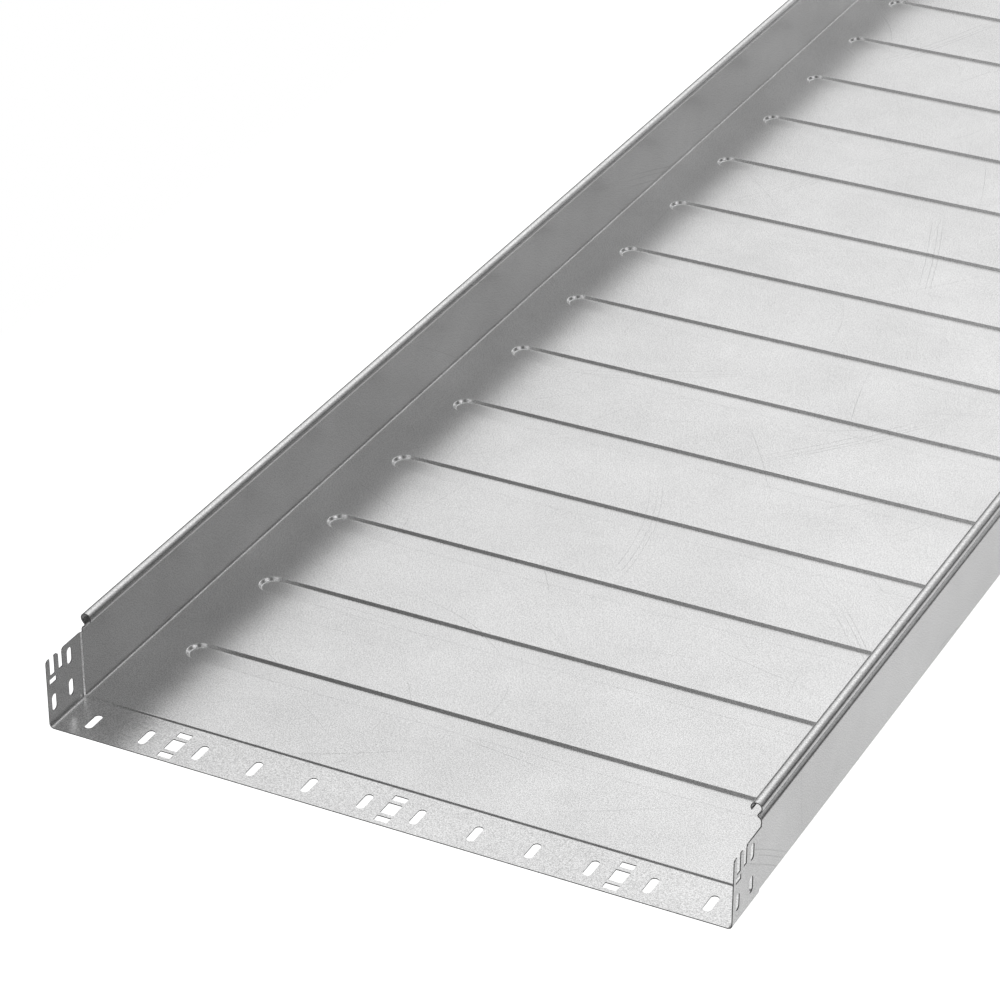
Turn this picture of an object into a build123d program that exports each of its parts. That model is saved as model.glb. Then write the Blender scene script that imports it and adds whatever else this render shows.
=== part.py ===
"""Solid cable tray: one long channel of bent sheet steel, with rolled edges,
pressed cross ribs in its base and a push-together connector formed at one end.

X runs across the tray, Y along it and Z up. The origin is the middle of the
tray's length and width, at the height of its lowest surface, the rib bottoms.
The connector end is at -Y, and heights of its slots count from its underside.
"""
from build123d import *
from math import acos, atan2, cos, degrees, floor, radians, sin, tan
import os

# Overall sizes, in millimetres
tray_length = 3000.0       # whole length, connector included
tray_width = 600.0         # across the outer faces of the body's side walls
tray_height = 80.0         # from the underside of the base to the top of the rolled edges
sheet = 1.0                # thickness of the sheet
bend_radius = 2.1          # inside radius of the body's bend between base and wall

# Rolled edge and the stiffening groove below it
roll_diameter = 10.0       # outside diameter of the roll
roll_end = 214.0           # degrees up and over from the roll's outermost line to its free lip
groove_drop = 11.6         # from the top of the roll down to the groove's corner
groove_depth = 3.7         # how far that corner lies inside the wall's outer face
groove_rise = 1.9          # how far the shelf below the groove climbs to that corner
groove_radius = 0.9        # bend radius in the groove's corner, on its hollow side
shoulder_radius = 3.8      # inside radius of the bend from the wall to the shelf
shelf_use = 0.96           # most of the shelf's free length that this bend may take up

# Cross ribs, pressed down into the base
rib_pitch = 120.0
rib_width = 25.6           # along the tray, between the rib's upper edges
rib_depth = 2.5            # how far the base is pressed down
rib_run = 2.3              # width of the rib's sloping side
rib_side_gap = 37.7        # from the wall's outer face to the rib's rounded end
first_rib = 152.4          # front edge of the connector to the first rib's centre line
last_rib_gap = 60.0        # least distance from the last rib's centre line to the far end

# Connector, set outwards all round so that the next tray's end slides into it
fit_gap = 0.1              # between the connector and the tray end that it takes
connector_length = 49.8    # front edge to the start of the step
step_run = 1.9             # length of the sloping step between connector and body
connector_height = 63.0    # from its underside to the top edge of its walls
roll_start = 52.5          # front edge to the square-cut end of the rolled edges
corner_cut = 2.0           # chamfers on the top corners of the connector's walls

# Slots and windows in the connector's base
base_row = 22.8            # front edge to the centre line of the slots and windows
base_slot_width = 7.0
base_slot_length = 21.0
base_slot_pitch = 50.0
base_slot_first = 23.5     # tray's centre line to the first slot on each side
base_slot_pairs = 6
window_width = 12.0        # across the tray
window_length = 15.0       # the middle window, along the tray
window_end_length = 7.0    # the small windows in front of it and behind it
window_bridge = 4.0        # sheet left between two windows
window_group_pitch = 197.0
window_groups = 3

# Slots in the connector's walls
side_slot_width = 7.0
side_slot_height = 15.0
side_slot_front = 8.4      # front edge to the first column
side_slot_pitch = 25.0     # first column to the second
side_slot_level = 20.5     # centre of the lower slots
side_slot_rise = 30.0      # lower row to upper row
clip_level = 46.7          # bottom of the open slots on each side of the clip tab
clip_gap_width = 5.8       # open slot behind the tab
clip_gap_centre = 20.4     # front edge to the centre of that slot
clip_window_width = 10.0
clip_window_height = 4.8
clip_window_level = 41.3   # centre of the window under the front open slot

# Worked out from the sizes above
step = sheet + fit_gap
base_under = max(rib_depth, step)
connector_under = base_under - step
connector_top = connector_under + connector_height
tray_top = base_under + tray_height
body_half = tray_width / 2
connector_half = body_half + step
step_end = connector_length + step_run
front = -tray_length / 2
past = 2 * (sheet + step)              # how far a cutting solid runs past the sheet


def across(y):
    """The plane across the tray at a distance y behind the connector's front edge."""
    return Plane(origin=(0, front + y, 0), x_dir=(1, 0, 0), z_dir=(0, -1, 0))


def section(points, radii, roll=None):
    """A band one sheet thick on the inner side of an outer line. points run from the
    middle of the base to the right-hand free edge, and a roll may follow the last one.
    The left-hand half mirrors it."""
    edges = FilletPolyline((0, points[0][1]), *points, radius=radii).edges()
    outer = Wire(edges + roll.edges() if roll else edges)
    half = make_face(outer.offset_2d(-sheet, side=Side.LEFT, closed=True).edges())
    return half + mirror(half, Plane.YZ)


def body_section():
    """The body's section: base, walls, shelves, grooves and rolled edges. The neck
    above each groove runs straight into the roll."""
    roll_radius = roll_diameter / 2
    centre = Vector(body_half - roll_radius, tray_top - roll_radius)
    shoulder = Vector(body_half, tray_top - groove_drop - groove_rise)
    groove = Vector(body_half - groove_depth, tray_top - groove_drop)
    to_groove = groove - centre
    neck_end = atan2(to_groove.Y, to_groove.X) + acos(roll_radius / to_groove.length)
    neck_top = centre + Vector(cos(neck_end), sin(neck_end)) * roll_radius
    shelf = groove - shoulder
    groove_turn = radians(shelf.get_angle(neck_top - groove))
    shoulder_turn = radians(shelf.get_angle(Vector(0, 1)))
    room = shelf.length - groove_radius * tan(groove_turn / 2)
    shoulder_bend = min(shoulder_radius + sheet, shelf_use * room / tan(shoulder_turn / 2))
    points = [(point.X, point.Y) for point in (Vector(body_half, base_under), shoulder, groove, neck_top)]
    roll = CenterArc((centre.X, centre.Y), roll_radius, degrees(neck_end), roll_end - degrees(neck_end))
    return section(points, [bend_radius + sheet, shoulder_bend, groove_radius], roll)


def channel_section(half_width, under, bend):
    """A plain channel section that reaches up to the connector's top edge. bend is the
    outside radius between its base and its walls."""
    points = [(half_width, under), (half_width, connector_top)]
    return section(points, [bend])


def extruded(face, start, end):
    """The section face drawn along the tray from start to end."""
    return extrude(across(start) * face, amount=start - end)


def channel():
    """Body with its rolled edges, the low wall in front of them, the step and the
    connector, as one bent sheet before pressing and punching."""
    low_body = channel_section(body_half, base_under, bend_radius + sheet)
    connector = channel_section(connector_half, connector_under, bend_radius + sheet + step)
    step_faces = [across(connector_length) * connector, across(step_end) * low_body]
    return (
        extruded(body_section(), roll_start, tray_length)
        + extruded(low_body, step_end, roll_start)
        + loft(step_faces, ruled=True)
        + extruded(connector, 0, connector_length)
    )


def rib_press(level, grown):
    """The tapered, round-ended solid of one rib, from the height level down by the
    rib's depth. grown widens it all round."""
    length = tray_width - 2 * rib_side_gap + 2 * grown
    width = rib_width + 2 * grown
    upper = Plane.XY.offset(level) * SlotOverall(length, width)
    lower = Plane.XY.offset(level - rib_depth) * SlotOverall(length - 2 * rib_run, width - 2 * rib_run)
    return loft([upper, lower], ruled=True)


def rib_places():
    """The centre of each cross rib."""
    count = floor((tray_length - last_rib_gap - first_rib) / rib_pitch) + 1
    return [Location((0, front + first_rib + i * rib_pitch, 0)) for i in range(count)]


def press_ribs(tray):
    """Ribs as the press leaves them: a bulge below the base and its hollow above. The
    bulge is wider by what keeps the sheet as thick on the slope as on the flat."""
    grown = sheet * tan(atan2(rib_depth, rib_run) / 2)
    bulge = rib_press(base_under, grown)
    hollow = rib_press(base_under + sheet, 0)
    places = rib_places()
    return tray + [place * bulge for place in places] - [place * hollow for place in places]


def base_holes():
    """Cutting solids for the slots and window groups in the connector's base."""
    row = front + base_row
    holes = Sketch()
    for i in range(base_slot_pairs):
        for x in (base_slot_first + i * base_slot_pitch, -base_slot_first - i * base_slot_pitch):
            holes += Pos(x, row) * SlotOverall(base_slot_length, base_slot_width, rotation=90)
    end_row = (window_length + window_end_length) / 2 + window_bridge
    for centre in GridLocations(window_group_pitch, 1, window_groups, 1):
        group = Rectangle(window_width, window_length)
        for y in (-end_row, end_row):
            group += Pos(0, y) * Rectangle(window_width, window_end_length)
        holes += Pos(0, row) * centre * group
    return extrude(Plane.XY.offset(connector_under - past) * holes, amount=sheet + 2 * past)


def corner(y, toward):
    """A triangle that chamfers the top corner at y. The sheet lies on the side that
    toward gives: 1 behind the corner, -1 in front of it."""
    along = y + toward * corner_cut
    return make_face(Polyline((y, connector_height), (along, connector_height),
                              (y, connector_height - corner_cut), close=True))


def wall_holes():
    """Cutting solid for both walls of the connector: slots, clip tab, window, corners."""
    columns = [side_slot_front + i * side_slot_pitch for i in range(2)]
    upper_level = side_slot_level + side_slot_rise
    holes = Sketch()
    for y, z in ((columns[0], side_slot_level), (columns[1], side_slot_level), (columns[1], upper_level)):
        holes += Pos(y, z) * SlotOverall(side_slot_height, side_slot_width, rotation=90)
    open_height = connector_height + past - clip_level
    for y, width in ((columns[0], side_slot_width), (clip_gap_centre, clip_gap_width)):
        holes += Pos(y, clip_level + open_height / 2) * Rectangle(width, open_height)
    holes += Pos(columns[0], clip_window_level) * Rectangle(clip_window_width, clip_window_height)
    holes += corner(0, 1)
    holes += corner(clip_gap_centre - clip_gap_width / 2, -1)
    holes += corner(clip_gap_centre + clip_gap_width / 2, 1)
    side_plane = Plane(origin=(0, front, connector_under), x_dir=(0, 1, 0), z_dir=(1, 0, 0))
    return extrude(side_plane * holes, amount=connector_half + past, both=True)


cable_tray = press_ribs(channel()) - base_holes() - wall_holes()
cable_tray.label = "cable_tray"
os.makedirs("parts", exist_ok=True)
export_step(cable_tray, "parts/cable_tray.step")
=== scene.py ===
"""Looks of the solid cable tray: galvanised sheet steel on a plain white floor."""
import math
import bmesh
import bpy
from mathutils import Euler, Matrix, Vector


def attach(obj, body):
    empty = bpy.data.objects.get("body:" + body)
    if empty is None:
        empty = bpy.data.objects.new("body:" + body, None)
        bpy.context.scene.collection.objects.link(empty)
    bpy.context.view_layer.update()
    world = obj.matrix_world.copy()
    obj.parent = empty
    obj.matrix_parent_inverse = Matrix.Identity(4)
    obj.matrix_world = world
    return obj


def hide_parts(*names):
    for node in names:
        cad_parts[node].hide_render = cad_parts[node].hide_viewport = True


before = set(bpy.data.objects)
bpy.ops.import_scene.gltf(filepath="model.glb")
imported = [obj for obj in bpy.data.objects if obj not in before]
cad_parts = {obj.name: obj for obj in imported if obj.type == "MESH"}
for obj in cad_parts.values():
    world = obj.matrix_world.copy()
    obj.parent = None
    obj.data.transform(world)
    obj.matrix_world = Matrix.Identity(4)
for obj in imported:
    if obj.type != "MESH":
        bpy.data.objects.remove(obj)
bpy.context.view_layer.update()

# Camera, as the photograph was taken: degrees, and metres in the part's frame
VIEW_AZIMUTH = 27.0
VIEW_ELEVATION = 30.0
FIELD_OF_VIEW = 15.0
CAMERA_PLACE = (1.18635, -3.61850, 1.69343)

# Sheet, in metres and degrees
WELD_DISTANCE = 1e-6
FLAT_ANGLE = 0.3               # facets that differ by less are one flat face
PRESS_BEND = (25.0, 70.0)      # range of angles at the edges of ribs and of the step
PRESS_RADIUS = 0.0009          # width of the rounded bend there
PRESS_SEGMENTS = 4
CUT_EDGE = (75.0, 120.0)       # range of angles at cut edges
CUT_EASE = 0.0001              # how far a cut edge is eased
CUT_SEGMENTS = 1
FLAT_WEIGHT = 80               # how strongly large faces rule the shading of their corners

# Round ends of the ribs, in metres
RIB_FIRST = -1.3476            # centre line of the first rib, along the tray
RIB_PITCH = 0.12
RIB_END = 0.2495               # tray's centre line to the middle of a rib's round end
RIB_REACH = 0.014              # a little more than the radius of that end
RIB_END_CUTS = 2               # new points on each of its facets
SHORTEST_FACET = 0.001         # shorter edges there aren't facets of an arc
SAME_MEASURE = 1e-5            # heights and radii that differ by less are equal
SLOPE_RISE = 0.9               # a slope's normal rises by less than this
FLAT_RISE = 0.999              # and that of a flat face by more than this

# Zinc: noise scales per metre, and tones and roughnesses as shares of one
WIDE_BAND = (0.25, 0.75)       # noise levels that are spread over a range of tones
NARROW_BAND = (0.3, 0.7)
GRAIN_SCALE = 1100.0
GRAIN_TONE = 0.20              # how far the grain lightens and darkens
CLOUD_SCALE = 9.0
CLOUD_TONE = (0.70, 0.80)
SMEAR_SCALE = 28.0
SMEAR_TONE = 0.012
SMEAR_ROUGHNESS = (0.275, 0.290)
STAIN_SCALE = 16.0
STAIN_BAND = (0.60, 0.72)      # noise levels where a stain starts and where it is full
STAIN_TONE = 0.03
WAVE_SCALE = 6.0
WAVE_HEIGHT = 0.0002           # metres, as is the next
SKIN_HEIGHT = 0.00002

# Scratches: cells in a metre, share of the cells that hold one, half width of a line and
# the offsets of its parallel lines, in metres
SCRATCHES = (
    (4.5, 0.50, 0.0005, (-0.0070, 0.0, 0.0045)),
    (8.0, 0.55, 0.0005, (0.0,)),
    (15.0, 0.35, 0.0004, (0.0,)),
)
SCRATCH_RADII = (0.9, 12.0)    # in cells
SCRATCH_ENDS = (0.25, 0.6)     # in cells from its middle: where a line fades, where it ends
SCRATCH_CORE = 0.3             # share of a line's half width that has its full depth
SCRATCH_TONE = 0.20
SCRATCH_ROUGHNESS = 0.02
WEAR_SCALE = 5.0               # patches where scratches are faint and where they are strong
WEAR_BAND = (0.40, 0.60)
WEAR = (0.25, 1.0)

# Bare steel of the cut edges
CUT_STEEL_SCALE = 700.0
CUT_STEEL_TONE = (0.09, 0.15)
CUT_STEEL_ROUGHNESS = 0.45

# Studio: azimuth from +Y towards +X, elevation, half width in degrees, strength. A fitting
# program found the first six panels from the photograph's brightness, and the last is given.
SKY_LEVEL = 0.04
SKY_PANELS = (
    (334, 43, 45, 0.86),
    (9, 30, 39, 0.39),
    (127, 3, 33, 1.93),
    (86, 43, 20, 1.21),
    (183, 64, 26, 0.72),
    (17, 5, 19, 0.66),
    (180, 20, 34, 0.60),
)

# Floor round the tray, in metres and shares of white
FLOOR_HALF = 40.0
FLOOR_DROP = 0.0003            # how far it lies below the tray
TRAY_HALF = (0.3, 1.5, 0.0)
GLOW_REACH = (0.12, 0.42)      # where its glow in the steel starts to fade, and where it ends
MIRROR_GLOW = 0.35
# diffuse whiteness at the tray, fading to black away: a painted pool of light, and real shadow
FLOOR_PAINT_AND_LIGHT_POOL = 0.9
FLOOR_SHADE = 0.1              # share of the glow that the camera misses near the tray


def add_node(tree, kind, sockets=None, **settings):
    """A shader node with its settings, and its sockets set or linked by name."""
    node = tree.nodes.new(kind)
    for name, value in settings.items():
        setattr(node, name, value)
    for name, value in (sockets or {}).items():
        if isinstance(value, bpy.types.NodeSocket):
            tree.links.new(value, node.inputs[name])
        else:
            node.inputs[name].default_value = value
    return node


def noise(tree, place, scale, detail=2.0, roughness=0.5):
    return add_node(tree, "ShaderNodeTexNoise", {
        "Vector": place, "Scale": scale, "Detail": detail, "Roughness": roughness,
    }).outputs["Fac"]


def remap(tree, value, low, high, to_low, to_high):
    return add_node(tree, "ShaderNodeMapRange", {
        "Value": value, "From Min": low, "From Max": high, "To Min": to_low, "To Max": to_high,
    }).outputs["Result"]


def math_node(tree, operation, a, b):
    return add_node(tree, "ShaderNodeMath", {0: a, 1: b}, operation=operation).outputs[0]


def vector_node(tree, operation, a, b=None):
    sockets = {0: a} if b is None else {0: a, 1: b}
    return add_node(tree, "ShaderNodeVectorMath", sockets, operation=operation).outputs[0]


def length(tree, a):
    return add_node(tree, "ShaderNodeVectorMath", {0: a}, operation="LENGTH").outputs["Value"]


def scaled(tree, vector, factor):
    sockets = {0: vector, "Scale": factor}
    return add_node(tree, "ShaderNodeVectorMath", sockets, operation="SCALE").outputs[0]


def grey(tree, tone):
    sockets = {"Red": tone, "Green": tone, "Blue": tone}
    return add_node(tree, "ShaderNodeCombineColor", sockets).outputs[0]


def bump(tree, height, distance, normal=None):
    sockets = {"Height": height, "Strength": 1.0, "Distance": distance}
    if normal is not None:
        sockets["Normal"] = normal
    return add_node(tree, "ShaderNodeBump", sockets).outputs[0]


def add_camera():
    data = bpy.data.cameras.new("camera")
    data.angle = math.radians(FIELD_OF_VIEW)
    camera = bpy.data.objects.new("camera", data)
    camera.location = CAMERA_PLACE
    camera.rotation_euler = Euler((math.radians(90 - VIEW_ELEVATION), 0, math.radians(VIEW_AZIMUTH)))
    bpy.context.scene.collection.objects.link(camera)
    bpy.context.scene.camera = camera


def direction(azimuth, elevation):
    a, e = math.radians(azimuth), math.radians(elevation)
    return (math.sin(a) * math.cos(e), math.cos(a) * math.cos(e), math.sin(e))


def set_world():
    """A dim even studio with soft broad light panels, white where the camera sees it."""
    world = bpy.data.worlds.new("studio")
    bpy.context.scene.world = world
    world.use_nodes = True
    tree = world.node_tree
    background = tree.nodes["Background"]
    place = add_node(tree, "ShaderNodeTexCoord").outputs["Generated"]
    level = SKY_LEVEL
    for azimuth, elevation, half_width, strength in SKY_PANELS:
        toward = add_node(tree, "ShaderNodeVectorMath", {0: place}, operation="DOT_PRODUCT")
        toward.inputs[1].default_value = direction(azimuth, elevation)
        glow = add_node(tree, "ShaderNodeMapRange", {
            "Value": toward.outputs["Value"],
            "From Min": math.cos(math.radians(half_width)),
            "From Max": 1.0,
            "To Min": 0.0,
            "To Max": strength,
        }, interpolation_type="SMOOTHSTEP")
        level = math_node(tree, "ADD", level, glow.outputs["Result"])
    seen = add_node(tree, "ShaderNodeLightPath").outputs["Is Camera Ray"]
    shown = add_node(tree, "ShaderNodeMix", {"Factor": seen, "A": level, "B": 1.0})
    tree.links.new(shown.outputs["Result"], background.inputs["Color"])


def add_floor():
    """A white floor. The camera sees it white nearly all over, so that the tray's shadow
    hardly shows. In the steel it glows only near the tray, as a paper sweep does, and its
    diffuse colour is a painted pool of light: white near the tray, fading to black away."""
    mesh = bpy.data.meshes.new("floor")
    corners = [(x * FLOOR_HALF, y * FLOOR_HALF, 0) for x, y in ((-1, -1), (1, -1), (1, 1), (-1, 1))]
    mesh.from_pydata(corners, [], [(0, 1, 2, 3)])
    floor = bpy.data.objects.new("floor", mesh)
    bpy.context.scene.collection.objects.link(floor)
    floor.location.z = -FLOOR_DROP
    material = bpy.data.materials.new("floor")
    material.use_nodes = True
    tree = material.node_tree
    place = add_node(tree, "ShaderNodeTexCoord").outputs["Object"]
    outside = vector_node(tree, "SUBTRACT", vector_node(tree, "ABSOLUTE", place), TRAY_HALF)
    away = length(tree, vector_node(tree, "MAXIMUM", outside, (0, 0, 0)))
    near = remap(tree, away, *GLOW_REACH, 1.0, 0.0)
    path = add_node(tree, "ShaderNodeLightPath").outputs
    mirror_glow = math_node(tree, "MULTIPLY", near, MIRROR_GLOW)
    mirrored = math_node(tree, "MULTIPLY", path["Is Glossy Ray"], mirror_glow)
    camera_glow = remap(tree, near, 0.0, 1.0, 1.0, 1.0 - FLOOR_SHADE)
    seen = math_node(tree, "MULTIPLY", path["Is Camera Ray"], camera_glow)
    strength = math_node(tree, "ADD", seen, mirrored)
    glow = add_node(tree, "ShaderNodeEmission", {"Color": (1, 1, 1, 1), "Strength": strength})
    # painted pool of light: white near the tray, black away from it; near the tray it takes real shadow
    tone = math_node(tree, "MULTIPLY", near, FLOOR_PAINT_AND_LIGHT_POOL)
    paint_and_light_pool = add_node(tree, "ShaderNodeBsdfDiffuse", {"Color": grey(tree, tone)})
    both = add_node(tree, "ShaderNodeAddShader", {0: glow.outputs[0], 1: paint_and_light_pool.outputs[0]})
    tree.links.new(both.outputs[0], tree.nodes["Material Output"].inputs["Surface"])
    mesh.materials.append(material)


def scratches(tree, spread, cells, kept, width, strokes):
    """One scratch through the middle of each kept cell of a cell pattern: an arc of the
    cell's own turn and radius. strokes are the offsets of its parallel lines."""
    sockets = {"Vector": spread, "Scale": cells}
    cell = add_node(tree, "ShaderNodeTexVoronoi", sockets, voronoi_dimensions="2D").outputs
    chance = add_node(tree, "ShaderNodeSeparateColor", {"Color": cell["Color"]}).outputs
    offset = vector_node(tree, "SUBTRACT", spread, cell["Position"])
    turn = vector_node(tree, "SUBTRACT", cell["Color"], (0.5, 0.5, 0.5))
    turn = vector_node(tree, "MULTIPLY", turn, (1, 1, 0))
    radius = remap(tree, chance["Blue"], 0.0, 1.0, *(share / cells for share in SCRATCH_RADII))
    arm = vector_node(tree, "SUBTRACT", offset, scaled(tree, vector_node(tree, "NORMALIZE", turn), radius))
    beside = math_node(tree, "SUBTRACT", length(tree, arm), radius)
    line = None
    for stroke in strokes:
        gap = math_node(tree, "ABSOLUTE", math_node(tree, "SUBTRACT", beside, stroke), 0.0)
        mark = remap(tree, gap, SCRATCH_CORE * width, width, 1.0, 0.0)
        line = mark if line is None else math_node(tree, "MAXIMUM", line, mark)
    ends = remap(tree, length(tree, offset), *(share / cells for share in SCRATCH_ENDS), 1.0, 0.0)
    chosen = math_node(tree, "LESS_THAN", chance["Green"], kept)
    return math_node(tree, "MULTIPLY", line, math_node(tree, "MULTIPLY", ends, chosen))


def spread_place(tree, place):
    """Place on the sheet as if it lay flat: along the tray, and across base or wall."""
    normal = add_node(tree, "ShaderNodeNewGeometry").outputs["True Normal"]
    facing = add_node(tree, "ShaderNodeSeparateXYZ", {"Vector": normal}).outputs
    at = add_node(tree, "ShaderNodeSeparateXYZ", {"Vector": place}).outputs
    on_base = math_node(tree, "MULTIPLY", at["X"], facing["Z"])
    on_wall = math_node(tree, "MULTIPLY", at["Z"], facing["X"])
    sideways = math_node(tree, "ADD", on_base, on_wall)
    return add_node(tree, "ShaderNodeCombineXYZ", {"X": at["Y"], "Y": sideways}).outputs[0]


def steel_material():
    """Strip-galvanised steel: neutral grey metal, satin, with a fine grain, soft cloudy
    stains from handling, and scratches, straight and curved, single and in bundles."""
    material = bpy.data.materials.new("galvanised_steel")
    material.use_nodes = True
    tree = material.node_tree
    shader = tree.nodes["Principled BSDF"]
    place = add_node(tree, "ShaderNodeTexCoord").outputs["Object"]
    spread = spread_place(tree, place)
    grain = noise(tree, place, GRAIN_SCALE, 0.0)
    clouds = noise(tree, place, CLOUD_SCALE, 5.0, 0.6)
    smears = noise(tree, place, SMEAR_SCALE, 4.0, 0.65)
    stains = remap(tree, noise(tree, place, STAIN_SCALE, 4.0, 0.6), *STAIN_BAND, 0.0, 1.0)
    lines = None
    for cells, kept, width, strokes in SCRATCHES:
        layer = scratches(tree, spread, cells, kept, width, strokes)
        lines = layer if lines is None else math_node(tree, "MAXIMUM", lines, layer)
    worn = remap(tree, noise(tree, place, WEAR_SCALE, 2.0), *WEAR_BAND, *WEAR)
    lines = math_node(tree, "MULTIPLY", lines, worn)
    tone = remap(tree, clouds, *WIDE_BAND, *CLOUD_TONE)
    tone = math_node(tree, "ADD", tone, remap(tree, smears, *NARROW_BAND, -SMEAR_TONE, SMEAR_TONE))
    tone = math_node(tree, "ADD", tone, remap(tree, grain, *WIDE_BAND, -GRAIN_TONE, GRAIN_TONE))
    tone = math_node(tree, "SUBTRACT", tone, math_node(tree, "MULTIPLY", stains, STAIN_TONE))
    tone = math_node(tree, "SUBTRACT", tone, math_node(tree, "MULTIPLY", lines, SCRATCH_TONE))
    tree.links.new(grey(tree, tone), shader.inputs["Base Color"])
    rough = remap(tree, smears, *NARROW_BAND, *SMEAR_ROUGHNESS)
    rough = math_node(tree, "ADD", rough, math_node(tree, "MULTIPLY", lines, SCRATCH_ROUGHNESS))
    tree.links.new(rough, shader.inputs["Roughness"])
    shader.inputs["Metallic"].default_value = 1.0
    wave = bump(tree, noise(tree, place, WAVE_SCALE, 1.0), WAVE_HEIGHT)
    tree.links.new(bump(tree, grain, SKIN_HEIGHT, wave), shader.inputs["Normal"])
    return material


def cut_steel_material():
    """Bare sheared steel at the cut edges, darker than the zinc."""
    material = bpy.data.materials.new("cut_steel")
    material.use_nodes = True
    tree = material.node_tree
    shader = tree.nodes["Principled BSDF"]
    place = add_node(tree, "ShaderNodeTexCoord").outputs["Object"]
    tone = remap(tree, noise(tree, place, CUT_STEEL_SCALE), *NARROW_BAND, *CUT_STEEL_TONE)
    tree.links.new(grey(tree, tone), shader.inputs["Base Color"])
    shader.inputs["Metallic"].default_value = 1.0
    shader.inputs["Roughness"].default_value = CUT_STEEL_ROUGHNESS
    return material


def edges_at(mesh, angles):
    """The edges whose two faces meet within a range of angles."""
    low, high = (math.radians(angle) for angle in angles)
    return [e for e in mesh.edges if len(e.link_faces) == 2 and low < e.calc_face_angle(0) < high]


def mark_cut_faces(mesh):
    """Gives material 1 to the faces that shears and punches left: the patches between
    the sheet's two large sides."""
    borders = set(edges_at(mesh, CUT_EDGE))
    patches, seen = [], set()
    for start in mesh.faces:
        if start in seen:
            continue
        seen.add(start)
        patch, todo = [], [start]
        while todo:
            face = todo.pop()
            patch.append(face)
            for edge in face.edges:
                if edge in borders:
                    continue
                for other in edge.link_faces:
                    if other not in seen:
                        seen.add(other)
                        todo.append(other)
        patches.append(patch)
    patches.sort(key=lambda patch: sum(face.calc_area() for face in patch))
    for patch in patches[:-2]:
        for face in patch:
            face.material_index = 1


def from_rib_end(place):
    """Offset of a place from the middle of the nearest round end of a rib, seen from above."""
    row = RIB_FIRST + round((place.y - RIB_FIRST) / RIB_PITCH) * RIB_PITCH
    return Vector((place.x - math.copysign(RIB_END, place.x), place.y - row, 0))


def turn_round_rib_end(vert):
    offset = from_rib_end(vert.co)
    return math.atan2(offset.y, abs(offset.x))


def round_rib_ends(mesh):
    """Splits the arcs of the ribs' round ends more finely and moves the new points out
    on to the true circles, of which each height has one."""
    arcs, slopes, radii = [], set(), {}
    for edge in mesh.edges:
        one, two = (vert.co for vert in edge.verts)
        level = abs(one.z - two.z) <= SAME_MEASURE
        if not level or edge.calc_length() < SHORTEST_FACET or one.x * two.x < 0:
            continue
        if min(abs(one.x), abs(two.x)) < RIB_END - SAME_MEASURE:
            continue
        reach = [from_rib_end(place).length for place in (one, two)]
        if max(reach) < RIB_REACH and abs(reach[0] - reach[1]) < SAME_MEASURE:
            arcs.append(edge)
            slopes.update(face for face in edge.link_faces if abs(face.normal.z) < SLOPE_RISE)
            radii[round(one.z * 1e4)] = reach[0]
    made = bmesh.ops.bisect_edges(mesh, edges=arcs, cuts=RIB_END_CUTS)["geom_split"]
    made = {vert for vert in made if isinstance(vert, bmesh.types.BMVert)}
    for vert in made:
        offset = from_rib_end(vert.co)
        vert.co += offset * (radii[round(vert.co.z * 1e4)] / offset.length - 1)
    for face in slopes:
        points = sorted((vert for vert in face.verts if vert in made), key=lambda vert: vert.co.z)
        half = len(points) // 2
        lower, upper = (sorted(part, key=turn_round_rib_end) for part in (points[:half], points[half:]))
        for one, two in zip(lower, upper):
            strip, _ = bmesh.utils.face_split(face, one, two)
            if one is not lower[-1] and lower[-1] in strip.verts:
                face = strip


def refill_base(mesh):
    """Fills the flat of the base anew, above and below, round the ribs' finer ends."""
    for way in (1, -1):
        flats = [face for face in mesh.faces if face.normal.z * way > FLAT_RISE]
        level = max(flats, key=lambda face: face.calc_area()).verts[0].co.z
        old = {face for face in flats if abs(face.verts[0].co.z - level) < SAME_MEASURE}
        sides = [edge for face in old for edge in face.edges]
        rims = [edge for edge in sides if sum(face in old for face in edge.link_faces) == 1]
        bmesh.ops.delete(mesh, geom=list(old), context="FACES_KEEP_BOUNDARY")
        bmesh.ops.triangle_fill(mesh, edges=rims, normal=(0, 0, way), use_beauty=True)


def formed_sheet():
    """The tray's own sheet as pressed and cut: the CAD surface with its press bends
    rounded and its cut edges eased."""
    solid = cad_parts["cable_tray"]
    mesh = bmesh.new()
    mesh.from_mesh(solid.data)
    bmesh.ops.remove_doubles(mesh, verts=mesh.verts, dist=WELD_DISTANCE)
    bmesh.ops.dissolve_limit(mesh, angle_limit=math.radians(FLAT_ANGLE), verts=mesh.verts, edges=mesh.edges)
    mark_cut_faces(mesh)
    round_rib_ends(mesh)
    bevels = ((PRESS_BEND, PRESS_RADIUS, PRESS_SEGMENTS), (CUT_EDGE, CUT_EASE, CUT_SEGMENTS))
    for angles, width, segments in bevels:
        bmesh.ops.bevel(mesh, geom=edges_at(mesh, angles), offset=width, offset_type="WIDTH",
                        segments=segments, profile=0.5, affect="EDGES", clamp_overlap=False)
    refill_base(mesh)
    data = bpy.data.meshes.new("formed_sheet")
    mesh.to_mesh(data)
    mesh.free()
    data.shade_smooth()
    sheet = bpy.data.objects.new("formed_sheet", data)
    bpy.context.scene.collection.objects.link(sheet)
    flat = sheet.modifiers.new("flat_faces_stay_flat", "WEIGHTED_NORMAL")
    flat.weight = FLAT_WEIGHT
    flat.keep_sharp = False
    data.materials.append(steel_material())
    data.materials.append(cut_steel_material())
    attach(sheet, "root")
    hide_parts("cable_tray")


bpy.context.scene.view_settings.view_transform = "Standard"
add_camera()
set_world()
add_floor()
formed_sheet()
